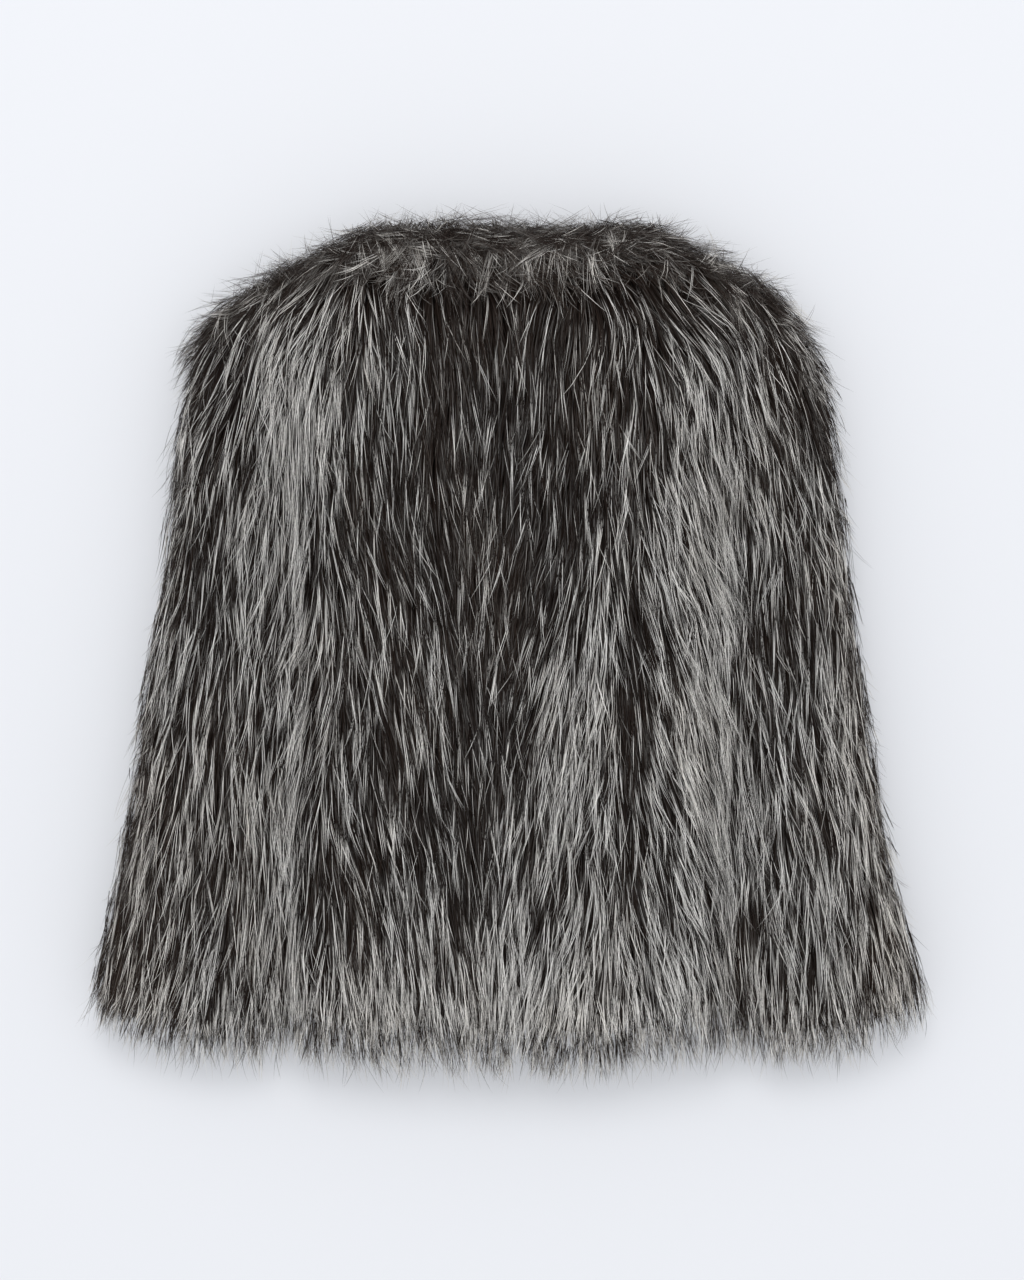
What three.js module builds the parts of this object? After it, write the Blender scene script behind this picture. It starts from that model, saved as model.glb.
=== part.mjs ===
import * as THREE from "three";

// A cropped fur jacket laid flat on its front, in millimetres.
// Its back is up (+Z), its neck points to +Y, its hem to -Y, and it rests on Z = 0.
// The wearer's left is at -X. Each panel is leather with its pile, out to the reach of the hair.

// Layers
const FRONT_PILE = 28;
const SEAM_GAP = 0.3;
const BACK_CREST = 80;
const SLEEVE_CREST = 67;
const EDGE_WALL = 2.5;
const SLEEVE_SLIT = 0.6;
const CENTRE_GAP = 1.2;

// Rounding of the pile at free edges and where two pieces press together
const EDGE_ROUND = 46;
const HEM_ROUND = 74;
const UNDER_ROUND = 26;
const VALLEY_DEPTH = 33;
const VALLEY_WIDTH = 19;
const UNDER_GROOVE = 13;
const UNDER_GROOVE_WIDTH = 16;
const CENTRE_GROOVE = 8;
const CENTRE_GROOVE_WIDTH = 13;

// How far the pile folds over at each end of the neck band
const FOLD_REACH_SEAM = 8;
const FOLD_REACH_EDGE = 2.5;

// Where the sleeve's leather is folded, in from its inner side and from the outline
const SLIT_INNER = 20;
const SLIT_OUTER = 42;

// Tufts along the hem and soft locks over the pile
const HEM_TUFT = 4;
const LOCK_RELIEF = 1.6;

// Colours of the pile
const FUR = { deep: 0x4b4340, mid: 0x6a625f };

// Counts of rows and columns in the sheets
const RINGS_PER_SECTION = 2;
const RING_TOP_STEPS = 12;
const RING_UNDER_STEPS = 8;
const BODY_ROWS_BELOW = 26;
const BODY_ROWS_ABOVE = 13;
const SHOULDER_STEPS = 5;
const NECK_STEPS = 34;
const FRONT_NECK_STEPS = 14;
const BAND_STEPS = 7;
const FOLD_STEPS = 4;

// Flattened sections of a sleeve, from the armhole to the cuff.
// innerX and innerY lie along the body, outerY with leftX or rightX on the outline of each sleeve.
// bulge is how far the middle of the section reaches past a straight line towards the cuff.
const SLEEVE_SECTIONS = [
  { innerX: 168, innerY: 66, outerY: 290, leftX: 208, rightX: 212, bulge: 0 },
  { innerX: 168, innerY: 63, outerY: 268, leftX: 241, rightX: 231, bulge: 0 },
  { innerX: 168, innerY: 60, outerY: 244, leftX: 260, rightX: 245, bulge: 0 },
  { innerX: 168, innerY: 56, outerY: 208, leftX: 264, rightX: 260, bulge: 0 },
  { innerX: 168, innerY: 50, outerY: 162, leftX: 271, rightX: 266, bulge: 0 },
  { innerX: 168, innerY: 40, outerY: 112, leftX: 275, rightX: 270, bulge: 0 },
  { innerX: 168, innerY: 24, outerY: 60, leftX: 280, rightX: 274, bulge: 0 },
  { innerX: 168, innerY: -4, outerY: 6, leftX: 290, rightX: 282, bulge: 0 },
  { innerX: 169, innerY: -50, outerY: -52, leftX: 300, rightX: 291, bulge: 0 },
  { innerX: 172, innerY: -110, outerY: -118, leftX: 307, rightX: 299, bulge: 0 },
  { innerX: 176, innerY: -170, outerY: -180, leftX: 318, rightX: 310, bulge: 0 },
  { innerX: 180, innerY: -225, outerY: -228, leftX: 327, rightX: 322, bulge: 4 },
  { innerX: 182, innerY: -268, outerY: -256, leftX: 334, rightX: 331, bulge: 9 },
  { innerX: 183.5, innerY: -300, outerY: -274, leftX: 338, rightX: 336, bulge: 14 },
  { innerX: 184, innerY: -322, outerY: -290, leftX: 341, rightX: 340, bulge: 17 },
  { innerX: 184, innerY: -334, outerY: -301, leftX: 339, rightX: 338, bulge: 18 },
];

// Reach of the hem's fringe
const HEM = [
  { x: -184, y: -332 },
  { x: -160, y: -338 },
  { x: -128, y: -342 },
  { x: -96, y: -345 },
  { x: -60, y: -345 },
  { x: -24, y: -348 },
  { x: 12, y: -347 },
  { x: 48, y: -351 },
  { x: 84, y: -349 },
  { x: 112, y: -342 },
  { x: 144, y: -337 },
  { x: 184, y: -332 },
];

// The back half of the neck band from fold to fold: its seam on the back, and its upper edge
const BACK_NECK = [
  { seamX: -147, seamY: 313, edgeX: -110, edgeY: 338 },
  { seamX: -130, seamY: 305.5, edgeX: -98, edgeY: 340 },
  { seamX: -105, seamY: 299, edgeX: -80, edgeY: 338.5 },
  { seamX: -70, seamY: 295, edgeX: -56, edgeY: 340.5 },
  { seamX: -35, seamY: 293, edgeX: -28, edgeY: 340 },
  { seamX: 0, seamY: 292.5, edgeX: 0, edgeY: 337.5 },
  { seamX: 35, seamY: 293, edgeX: 28, edgeY: 336.5 },
  { seamX: 70, seamY: 295, edgeX: 56, edgeY: 338 },
  { seamX: 105, seamY: 299, edgeX: 80, edgeY: 340 },
  { seamX: 130, seamY: 305.5, edgeX: 98, edgeY: 340 },
  { seamX: 147, seamY: 313, edgeX: 110, edgeY: 338 },
];

// One front half of the neck band from the fold to the centre front, under the back
const FRONT_NECK = [
  { seamX: 147, seamY: 313, edgeX: 110, edgeY: 338 },
  { seamX: 141, seamY: 290, edgeX: 101, edgeY: 312 },
  { seamX: 124, seamY: 264, edgeX: 87, edgeY: 289 },
  { seamX: 96, seamY: 243, edgeX: 68, edgeY: 272 },
  { seamX: 60, seamY: 231, edgeX: 43, edgeY: 264 },
  { seamX: 28, seamY: 227, edgeX: 20, edgeY: 261 },
  { seamX: CENTRE_GAP / 2, seamY: 226, edgeX: CENTRE_GAP / 2, edgeY: 260 },
];

// The shoulder line between the armhole and the neck band
const SHOULDER = [
  { x: 192, y: 301 },
  { x: 170, y: 311 },
];

// The largest furrows (depth above 0) and ridges (below 0) in the pile that is up
const FURROWS = [
  { fromX: -24, fromY: 245, toX: -18, toY: -60, width: 24, depth: 6 },
  { fromX: -20, fromY: -60, toX: -36, toY: -235, width: 18, depth: 5 },
  { fromX: -140, fromY: 80, toX: -141, toY: -100, width: 9, depth: 7 },
  { fromX: -150, fromY: -200, toX: -146, toY: -272, width: 11, depth: 6 },
  { fromX: 92, fromY: 40, toX: 98, toY: -176, width: 13, depth: 6 },
  { fromX: -236, fromY: 236, toX: -234, toY: 170, width: 12, depth: 6 },
  { fromX: 246, fromY: 210, toX: 250, toY: 128, width: 12, depth: 5 },
  { fromX: 204, fromY: -190, toX: 208, toY: -300, width: 12, depth: 5 },
  { fromX: -210, fromY: -200, toX: -212, toY: -310, width: 14, depth: 6 },
  { fromX: -186, fromY: 226, toX: -118, toY: 238, width: 26, depth: -5 },
  { fromX: -157, fromY: 40, toX: -159, toY: -130, width: 10, depth: -6 },
  { fromX: -166, fromY: -180, toX: -170, toY: -300, width: 11, depth: -5 },
  { fromX: 150, fromY: 180, toX: 154, toY: -60, width: 16, depth: -5 },
  { fromX: 152, fromY: -60, toX: 166, toY: -290, width: 14, depth: -5 },
  { fromX: 48, fromY: -40, toX: 58, toY: -120, width: 18, depth: -4 },
  { fromX: -232, fromY: 30, toX: -250, toY: -180, width: 20, depth: -4 },
  { fromX: 228, fromY: 90, toX: 250, toY: -250, width: 20, depth: -4 },
];

const FOLD_LEVEL = FRONT_PILE + SEAM_GAP / 2;

const clamp01 = (t) => Math.min(Math.max(t, 0), 1);
const mix = (a, b, t) => a + (b - a) * t;
const smooth = (from, to, value) => {
  const t = clamp01((value - from) / (to - from));
  return t * t * (3 - 2 * t);
};
const point = (x, y) => new THREE.Vector2(x, y);

// Evenly spaced shares from 0 to 1, drawn together towards one end or the other
const shares = (count) => Array.from({ length: count + 1 }, (_, i) => i / count);
const closeToStart = (t) => mix(t, 1 - Math.cos((t * Math.PI) / 2), 0.75);
const closeToEnd = (t) => 1 - closeToStart(1 - t);

// Points along a smooth line through the rows of a table
function smoothLine(rows, xKey, yKey, steps) {
  const curve = new THREE.CatmullRomCurve3(
    rows.map((row) => new THREE.Vector3(row[xKey], row[yKey], 0)),
    false,
    "centripetal",
  );
  return shares(steps).map((t) => {
    const at = curve.getPoint(t);
    return point(at.x, at.y);
  });
}

// The line moved sideways, to its right as one walks along it
function movedLine(line, distance) {
  return line.map((at, i) => {
    const before = line[Math.max(i - 1, 0)];
    const after = line[Math.min(i + 1, line.length - 1)];
    const along = after.clone().sub(before).normalize();
    return point(at.x + along.y * distance, at.y - along.x * distance);
  });
}

// The least distance from a place to a line of points
function distanceTo(line, x, y) {
  let nearest = Infinity;
  for (let i = 1; i < line.length; i += 1) {
    const { x: ax, y: ay } = line[i - 1];
    const dx = line[i].x - ax;
    const dy = line[i].y - ay;
    const share = clamp01(((x - ax) * dx + (y - ay) * dy) / (dx * dx + dy * dy || 1));
    nearest = Math.min(nearest, Math.hypot(x - ax - dx * share, y - ay - dy * share));
  }
  return nearest;
}

const nearestOf = (lines, x, y) => Math.min(...lines.map((line) => distanceTo(line, x, y)));

// Plan lines

const SECTION_STEPS = (SLEEVE_SECTIONS.length - 1) * RINGS_PER_SECTION;
const innerLine = smoothLine(SLEEVE_SECTIONS, "innerX", "innerY", SECTION_STEPS);
const bulgeLine = smoothLine(SLEEVE_SECTIONS, "bulge", "innerY", SECTION_STEPS);
const outerLines = {
  left: smoothLine(SLEEVE_SECTIONS, "leftX", "outerY", SECTION_STEPS),
  right: smoothLine(SLEEVE_SECTIONS, "rightX", "outerY", SECTION_STEPS),
};

// A place in a sleeve: the ring's number, and its share of the way from the body to the outline
function sleevePlace(side, ring, share) {
  const sign = side === "left" ? -1 : 1;
  const inner = innerLine[ring];
  const outer = outerLines[side][ring];
  const across = outer.clone().sub(inner);
  const reach = bulgeLine[ring].x * 4 * share * (1 - share);
  const length = across.length();
  const x = inner.x + across.x * share + (across.y / length) * reach;
  const y = inner.y + across.y * share - (across.x / length) * reach;
  return point(sign * x, y);
}

const mirrored = (line) => line.map((at) => point(-at.x, at.y));
const cuffLine = (side) => shares(12).map((t) => sleevePlace(side, SECTION_STEPS, t));
const outlineOf = (side) => (side === "left" ? mirrored(outerLines.left) : outerLines.right);

function tuft(x) {
  const wide = Math.abs(Math.sin(x / 13.5 + 0.6));
  const narrow = Math.abs(Math.sin(x / 8.7 + 2.1 + Math.sin(x / 40)));
  return HEM_TUFT * (1 - 0.65 * wide - 0.35 * narrow) - HEM_TUFT / 3;
}

const hemCurve = smoothLine(HEM, "x", "y", 120);
function hemAt(x) {
  const next = Math.max(hemCurve.findIndex((at) => at.x >= x), 1);
  const from = hemCurve[next - 1];
  const to = hemCurve[next];
  const y = mix(from.y, to.y, clamp01((x - from.x) / (to.x - from.x)));
  return point(x, y - tuft(x) * smooth(184, 160, Math.abs(x)));
}
const hemLine = shares(90).map((t) => hemAt(mix(-184, 184, t)));

const backSeam = smoothLine(BACK_NECK, "seamX", "seamY", NECK_STEPS);
const backEdge = smoothLine(BACK_NECK, "edgeX", "edgeY", NECK_STEPS);
const frontSeam = smoothLine(FRONT_NECK, "seamX", "seamY", FRONT_NECK_STEPS);
const frontEdge = smoothLine(FRONT_NECK, "edgeX", "edgeY", FRONT_NECK_STEPS);

// The fold at the right end of the neck band, and its reach away from the body
const foldSeam = frontSeam[0];
const foldEdge = frontEdge[0];
const foldAlong = foldEdge.clone().sub(foldSeam).normalize();
const foldOut = point(-foldAlong.y, foldAlong.x).multiplyScalar(-1);
const foldReach = (share) => mix(FOLD_REACH_SEAM, FOLD_REACH_EDGE, share);
const foldPlace = (share, reach) =>
  foldSeam.clone().lerp(foldEdge, share).addScaledVector(foldOut, foldReach(share) * reach);
const foldOutline = [foldPlace(0, 1), foldPlace(1, 1)];

// The right shoulder from the armhole to the corner beside the neck band
function shoulderLine(side) {
  const corner = foldPlace(0, 1).addScaledVector(foldAlong, -1.1 * SEAM_GAP);
  const start = outerLines[side][0];
  const rows = [{ x: start.x - 1.1 * SEAM_GAP, y: start.y }, ...SHOULDER, { x: corner.x, y: corner.y }];
  return smoothLine(rows, "x", "y", SHOULDER_STEPS);
}

const freeEdges = [
  outlineOf("left"),
  outlineOf("right"),
  cuffLine("left"),
  cuffLine("right"),
  hemLine,
  shoulderLine("right"),
  mirrored(shoulderLine("left")),
  foldOutline,
  mirrored(foldOutline),
  backEdge,
];
const armholes = {
  left: [innerLine[0], outerLines.left[0]],
  right: [innerLine[0], outerLines.right[0]],
};
const valleys = [
  innerLine,
  mirrored(innerLine),
  armholes.right,
  mirrored(armholes.left),
];
const neckOpening = [frontEdge, mirrored(frontEdge)];

// Heights

// A quarter round: 0 at an edge and 1 from a given distance inwards
function roundOff(distance, radius) {
  const share = 1 - clamp01(distance / radius);
  return Math.sqrt(Math.max(1 - share * share, 0));
}

function furrowDepth(x, y) {
  let depth = 0;
  for (const row of FURROWS) {
    const line = [point(row.fromX, row.fromY), point(row.toX, row.toY)];
    const away = distanceTo(line, x, y) / row.width;
    depth += row.depth * Math.exp(-away * away);
  }
  return depth;
}

function lockRelief(x, y) {
  const bend = 1.3 * Math.sin(y / 48 + 0.7);
  const broad = Math.sin(x / 6.1 + bend + y / 60);
  const slow = Math.sin(x / 9.7 - bend * 0.7 - y / 45 + 2);
  return LOCK_RELIEF * (broad + 0.8 * slow);
}

// The top of the pile that is up
function topAt(x, y) {
  const floor = FOLD_LEVEL + SEAM_GAP / 2 + EDGE_WALL;
  const lower = smooth(-230, -310, y);
  const rounding = mix(EDGE_ROUND, HEM_ROUND, lower);
  const edge = roundOff(nearestOf(freeEdges, x, y), rounding);
  const onSleeve = smooth(150, 205, Math.abs(x)) * smooth(270, 120, y);
  const crest = mix(BACK_CREST, SLEEVE_CREST, onSleeve);
  const away = nearestOf(valleys, x, y) / VALLEY_WIDTH;
  const valley = VALLEY_DEPTH * mix(1, 0.25, smooth(80, 230, y)) * Math.exp(-away * away);
  const relief = lockRelief(x, y) - furrowDepth(x, y) - valley;
  return Math.max(floor, floor + (crest - floor + relief) * edge);
}

// The underside of the pile that lies on the floor
function underAt(x, y) {
  const ceiling = FRONT_PILE - EDGE_WALL;
  const outline = nearestOf(freeEdges, x, y);
  const opening = nearestOf(neckOpening, x, y);
  const edge = 1 - roundOff(Math.min(outline, opening), UNDER_ROUND);
  const meeting = 1 - roundOff(nearestOf(valleys, x, y), UNDER_GROOVE_WIDTH);
  const centre = 1 - roundOff(Math.abs(x), CENTRE_GROOVE_WIDTH);
  return Math.max(ceiling * edge, UNDER_GROOVE * meeting, CENTRE_GROOVE * centre);
}

const onTop = (at) => [at.x, at.y, topAt(at.x, at.y)];
const onUnder = (at) => [at.x, at.y, underAt(at.x, at.y)];
const atLevel = (at, z) => [at.x, at.y, z];

// Meshes

// A closed mesh, turned to face outwards
function closedMesh(name, places, triangles, colour, roughness) {
  let volume = 0;
  const [a, b, c] = [new THREE.Vector3(), new THREE.Vector3(), new THREE.Vector3()];
  for (const [i, j, k] of triangles) {
    a.fromArray(places[i]);
    b.fromArray(places[j]);
    c.fromArray(places[k]);
    volume += a.dot(b.cross(c));
  }
  const facing = volume < 0 ? triangles.map(([i, j, k]) => [i, k, j]) : triangles;
  const geometry = new THREE.BufferGeometry();
  geometry.setAttribute("position", new THREE.Float32BufferAttribute(places.flat(), 3));
  geometry.setIndex(facing.flat());
  geometry.computeVertexNormals();
  const material = new THREE.MeshStandardMaterial({ color: colour, roughness, metalness: 0 });
  const mesh = new THREE.Mesh(geometry, material);
  mesh.name = name;
  return mesh;
}

// Two triangles for each cell between two rows of point numbers
function strip(rowA, rowB) {
  const made = [];
  for (let i = 1; i < rowA.length; i += 1) {
    made.push([rowA[i - 1], rowA[i], rowB[i]], [rowA[i - 1], rowB[i], rowB[i - 1]]);
  }
  return made;
}

// Triangles between a finely and a coarsely numbered row, each entry [point number, place in the row]
function zip(fine, coarse) {
  const made = [];
  let i = 0;
  let j = 0;
  while (i < fine.length - 1 || j < coarse.length - 1) {
    const fineNext = i < fine.length - 1 ? fine[i + 1][1] : Infinity;
    const coarseNext = j < coarse.length - 1 ? coarse[j + 1][1] : Infinity;
    if (fineNext <= coarseNext) {
      made.push([fine[i][0], fine[i + 1][0], coarse[j][0]]);
      i += 1;
    } else {
      made.push([fine[i][0], coarse[j + 1][0], coarse[j][0]]);
      j += 1;
    }
  }
  return made;
}

// Every third number between the first and the last, both kept
function everyThird(first, last) {
  const kept = [];
  for (let i = first; i < last; i += 3) kept.push(i);
  return [...kept, last];
}

// A panel with one shaped face and one flat face, from a grid of plan points
function panelMesh(name, grid, shaped, flatLevel, colour, roughness) {
  const lastRow = grid.length - 1;
  const lastColumn = grid[0].length - 1;
  const places = [];
  const numbered = (row, column, place) => [places.push(place(grid[row][column])) - 1, row, column];
  const flat = (at) => atLevel(at, flatLevel);
  const shapedRows = grid.map((line, row) => line.map((_, column) => numbered(row, column, shaped)[0]));
  const triangles = shapedRows.slice(1).flatMap((row, i) => strip(shapedRows[i], row));
  const rows = shares(lastRow).map((_, i) => i);
  const columns = shares(lastColumn).map((_, i) => i);
  const rim = [
    ...columns.map((column) => [0, column]),
    ...rows.slice(1).map((row) => [row, lastColumn]),
    ...columns.slice(0, -1).reverse().map((column) => [lastRow, column]),
    ...rows.slice(1, -1).reverse().map((row) => [row, 0]),
  ];
  const flatRim = new Map(rim.map(([row, column]) => [`${row},${column}`, numbered(row, column, flat)[0]]));
  const low = rim.map(([row, column]) => flatRim.get(`${row},${column}`));
  const high = rim.map(([row, column]) => shapedRows[row][column]);
  triangles.push(...strip([...low, low[0]], [...high, high[0]]));
  const coarseRows = everyThird(1, lastRow - 1);
  const coarseColumns = everyThird(1, lastColumn - 1);
  const inner = coarseRows.map((row) => coarseColumns.map((column) => numbered(row, column, flat)[0]));
  triangles.push(...inner.slice(1).flatMap((row, i) => strip(row, inner[i])));
  const rimPoint = (row, column, place) => [flatRim.get(`${row},${column}`), place];
  const end = inner.length - 1;
  const tail = coarseColumns.length - 1;
  const join = (fine, coarse, turned) => {
    const made = zip(fine, coarse);
    triangles.push(...(turned ? made : made.map(([i, j, k]) => [i, k, j])));
  };
  const coarseRow = (row) => coarseColumns.map((column, i) => [inner[row][i], column]);
  const coarseColumn = (column) => coarseRows.map((row, i) => [inner[i][column], row]);
  join(columns.map((column) => rimPoint(0, column, column)), coarseRow(0), false);
  join(columns.map((column) => rimPoint(lastRow, column, column)), coarseRow(end), true);
  join(rows.map((row) => rimPoint(row, 0, row)), coarseColumn(0), true);
  join(rows.map((row) => rimPoint(row, lastColumn, row)), coarseColumn(tail), false);
  return closedMesh(name, places, triangles, colour, roughness);
}

// A grid of plan points spread between four lines: hem, top edge and the two sides
function spreadGrid(bottom, top, sideA, sideB) {
  const rows = sideA.length;
  const height = (row) => {
    const span = sideA[rows - 1].y - sideA[0].y;
    return (sideA[row].y - sideA[0].y) / span;
  };
  const width = top.map((at) => (at.x - top[0].x) / (top[top.length - 1].x - top[0].x));
  return sideA.map((left, row) => {
    const v = height(row);
    const right = sideB[row];
    return top.map((above, column) => {
      const u = width[column];
      const below = bottom(u);
      const place = below.clone().lerp(above, v);
      const straightLeft = bottom(0).lerp(top[0], v);
      const straightRight = bottom(1).lerp(top[top.length - 1], v);
      place.addScaledVector(left.clone().sub(straightLeft), 1 - u);
      return place.addScaledVector(right.clone().sub(straightRight), u);
    });
  });
}

// The side of the body from the hem to the shoulder, just clear of the sleeve
function bodySide(side) {
  const sign = side === "left" ? -1 : 1;
  const inset = 1.1 * SEAM_GAP;
  const corner = innerLine.findIndex((at) => at.y <= HEM[0].y);
  const along = innerLine.slice(0, corner < 0 ? innerLine.length : corner).reverse();
  along[0] = point(HEM[HEM.length - 1].x, HEM[0].y);
  const curve = new THREE.SplineCurve(along);
  const below = shares(BODY_ROWS_BELOW).map((t) => curve.getPoint(closeToStart(t)));
  below[BODY_ROWS_BELOW] = innerLine[0].clone();
  const [underarm, shoulder] = armholes[side];
  const above = shares(BODY_ROWS_ABOVE).map((t) => underarm.clone().lerp(shoulder, closeToEnd(t)));
  const line = [...below, ...above.slice(1)];
  return line.map((at) => point(sign * (at.x - inset), at.y));
}

const leftSide = bodySide("left");
const rightSide = bodySide("right");
const hemFrom = (fromX, toX) => (u) => hemAt(mix(fromX, toX, u));

function backPanel() {
  const seam = movedLine(backSeam, 1.1 * SEAM_GAP);
  const leftShoulder = mirrored(shoulderLine("left"));
  const rightShoulder = shoulderLine("right").reverse();
  const shift = 1.1 * SEAM_GAP;
  seam[0].x -= shift;
  seam[seam.length - 1].x += shift;
  const top = [...leftShoulder, ...seam, ...rightShoulder];
  const bottom = hemFrom(leftSide[0].x, rightSide[0].x);
  const grid = spreadGrid(bottom, top, leftSide, rightSide);
  return panelMesh("back", grid, onTop, FRONT_PILE + SEAM_GAP, FUR.deep, 0.82);
}

function frontPanel(side) {
  const sign = side === "left" ? -1 : 1;
  const outside = side === "left" ? leftSide : rightSide;
  const neckline = movedLine(frontSeam, -1.1 * SEAM_GAP);
  neckline[0].x += 1.1 * SEAM_GAP;
  neckline[neckline.length - 1].x = CENTRE_GAP / 2;
  const rightTop = [...shoulderLine(side), ...neckline];
  const top = side === "left" ? mirrored(rightTop) : rightTop;
  const foot = hemAt((sign * CENTRE_GAP) / 2);
  const head = top[top.length - 1];
  const low = outside[0].y;
  const high = outside[outside.length - 1].y;
  const centre = outside.map((at) => foot.clone().lerp(head, (at.y - low) / (high - low)));
  const bottom = hemFrom(outside[0].x, (sign * CENTRE_GAP) / 2);
  const grid = spreadGrid(bottom, top, outside, centre);
  return panelMesh("front_" + side, grid, onUnder, FRONT_PILE, FUR.mid, 0.85);
}

// A sleeve: rings round the pile, a thin slit inside them, open at the armhole and the cuff
function sleeveTube(side) {
  const places = [];
  const shell = [];
  const slit = [];
  const add = (place) => places.push(place) - 1;
  const upShares = shares(RING_TOP_STEPS).map((t) => Math.sin((t * Math.PI) / 2) * 0.6 + t * 0.4);
  const downShares = shares(RING_UNDER_STEPS)
    .map((t) => Math.sin((t * Math.PI) / 2) * 0.5 + t * 0.5)
    .reverse();
  for (let ring = 0; ring <= SECTION_STEPS; ring += 1) {
    const width = outerLines[side][ring].distanceTo(innerLine[ring]);
    const inside = (t) => mix(SLIT_INNER / width, 1 - SLIT_OUTER / width, t);
    const up = upShares.map((t) => add(onTop(sleevePlace(side, ring, t))));
    const down = downShares.map((t) => add(onUnder(sleevePlace(side, ring, t))));
    shell.push([...up, ...down, up[0]]);
    const half = SLEEVE_SLIT / 2;
    const slitPoint = (t, z) => add(atLevel(sleevePlace(side, ring, inside(t)), z));
    const slitUp = upShares.map((t) => slitPoint(t, FOLD_LEVEL + half));
    const slitDown = downShares.map((t) => slitPoint(t, FOLD_LEVEL - half));
    slit.push([...slitUp, ...slitDown, slitUp[0]]);
  }
  const triangles = [];
  for (let ring = 1; ring <= SECTION_STEPS; ring += 1) {
    triangles.push(...strip(shell[ring - 1], shell[ring]), ...strip(slit[ring], slit[ring - 1]));
  }
  triangles.push(...strip(slit[0], shell[0]), ...strip(shell[SECTION_STEPS], slit[SECTION_STEPS]));
  return closedMesh("sleeve_" + side, places, triangles, FUR.mid, 0.82);
}

// The neck band: a strip from the centre front, under the back, over the fold at the shoulder,
// along the back of the neck and down again on the other side
function neckBand() {
  const acrossSeam = shares(BAND_STEPS).map((t) => closeToEnd(t));
  const sections = [];
  const section = (seam, edge, innerLevel, outer) => {
    const across = acrossSeam.map((t) => seam.clone().lerp(edge, t));
    return [...across.map((at) => atLevel(at, innerLevel)), ...across.reverse().map(outer)];
  };
  const flip = (places) => places.map(([x, y, z]) => [-x, y, z]);
  const foldSection = (share, outer, lift) => {
    const axis = (t) => foldSeam.clone().lerp(foldEdge, t);
    const inner = acrossSeam.map((t) =>
      atLevel(axis(t).addScaledVector(foldOut, 0.5 * share), FOLD_LEVEL + lift * (1.05 - share)),
    );
    const rim = acrossSeam.slice().reverse().map((t) => outer(foldPlace(t, share)));
    return [...inner, ...rim];
  };
  const foldShares = shares(FOLD_STEPS).slice(1).map(closeToEnd);
  const halfGap = SEAM_GAP / 2;
  const under = frontSeam
    .map((seam, i) => section(seam, frontEdge[i], FRONT_PILE, onUnder))
    .reverse();
  const foldUnder = foldShares.map((t) => foldSection(t, onUnder, -halfGap));
  const foldTop = foldShares.map((t) => foldSection(t, onTop, halfGap)).reverse();
  const rightEnd = [...under, ...foldUnder, ...foldTop];
  const backHalf = backSeam
    .map((seam, i) => section(seam, backEdge[i], FRONT_PILE + SEAM_GAP, onTop))
    .reverse();
  sections.push(...rightEnd, ...backHalf, ...rightEnd.slice().reverse().map(flip));
  const places = sections.flat();
  const size = sections[0].length;
  const numbers = sections.map((_, row) => shares(size - 1).map((_, i) => row * size + i));
  const triangles = [];
  for (let row = 1; row < numbers.length; row += 1) {
    const [a, b] = [numbers[row - 1], numbers[row]];
    triangles.push(...strip([...a, a[0]], [...b, b[0]]));
  }
  const endCap = (numbered, turned) => {
    const half = size / 2;
    const seamSide = numbered.slice(0, half);
    const furSide = numbered.slice(half).reverse();
    triangles.push(...(turned ? strip(furSide, seamSide) : strip(seamSide, furSide)));
  };
  endCap(numbers[0], true);
  endCap(numbers[numbers.length - 1], false);
  return closedMesh("neck_band", places, triangles, FUR.deep, 0.82);
}

const jacket = new THREE.Group();
jacket.name = "fur_jacket";
jacket.add(
  backPanel(),
  frontPanel("left"),
  frontPanel("right"),
  sleeveTube("left"),
  sleeveTube("right"),
  neckBand(),
);

// The origin is under the middle of the jacket
const box = new THREE.Box3().setFromObject(jacket);
const centre = box.getCenter(new THREE.Vector3());
for (const piece of jacket.children) {
  piece.geometry.translate(-centre.x, -centre.y, -box.min.z);
}

export default jacket;
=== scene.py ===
"""Dresses the fur jacket that lies flat on its front: thin pelts, banded hair, pale floor, soft light."""

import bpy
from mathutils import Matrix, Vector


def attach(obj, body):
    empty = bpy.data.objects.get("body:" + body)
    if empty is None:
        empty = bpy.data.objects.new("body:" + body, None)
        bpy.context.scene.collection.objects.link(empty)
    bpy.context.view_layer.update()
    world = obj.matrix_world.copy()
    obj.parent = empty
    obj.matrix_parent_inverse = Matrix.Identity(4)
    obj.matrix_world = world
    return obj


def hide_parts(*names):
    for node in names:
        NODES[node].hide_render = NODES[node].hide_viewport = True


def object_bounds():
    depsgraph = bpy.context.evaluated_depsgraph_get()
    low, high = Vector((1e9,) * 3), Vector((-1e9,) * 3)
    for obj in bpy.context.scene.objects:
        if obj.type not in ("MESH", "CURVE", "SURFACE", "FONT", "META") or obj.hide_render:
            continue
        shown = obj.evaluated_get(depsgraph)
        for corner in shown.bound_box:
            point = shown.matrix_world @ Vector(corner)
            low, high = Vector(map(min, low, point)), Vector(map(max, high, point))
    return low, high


bl_info = {
    "name": "Fur jacket laid flat",
    "version": (1, 0, 0),
    "blender": (4, 5, 0),
    "location": "3D View > Sidebar > Fur jacket",
    "description": "Pelts, guard hair, underfur and stray hair for a fur jacket, with a floor and a light",
    "category": "Object",
}

import bmesh
import bpy
import numpy as np
from bpy.props import FloatProperty, FloatVectorProperty, PointerProperty
from mathutils import Vector
from mathutils.bvhtree import BVHTree

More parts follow.
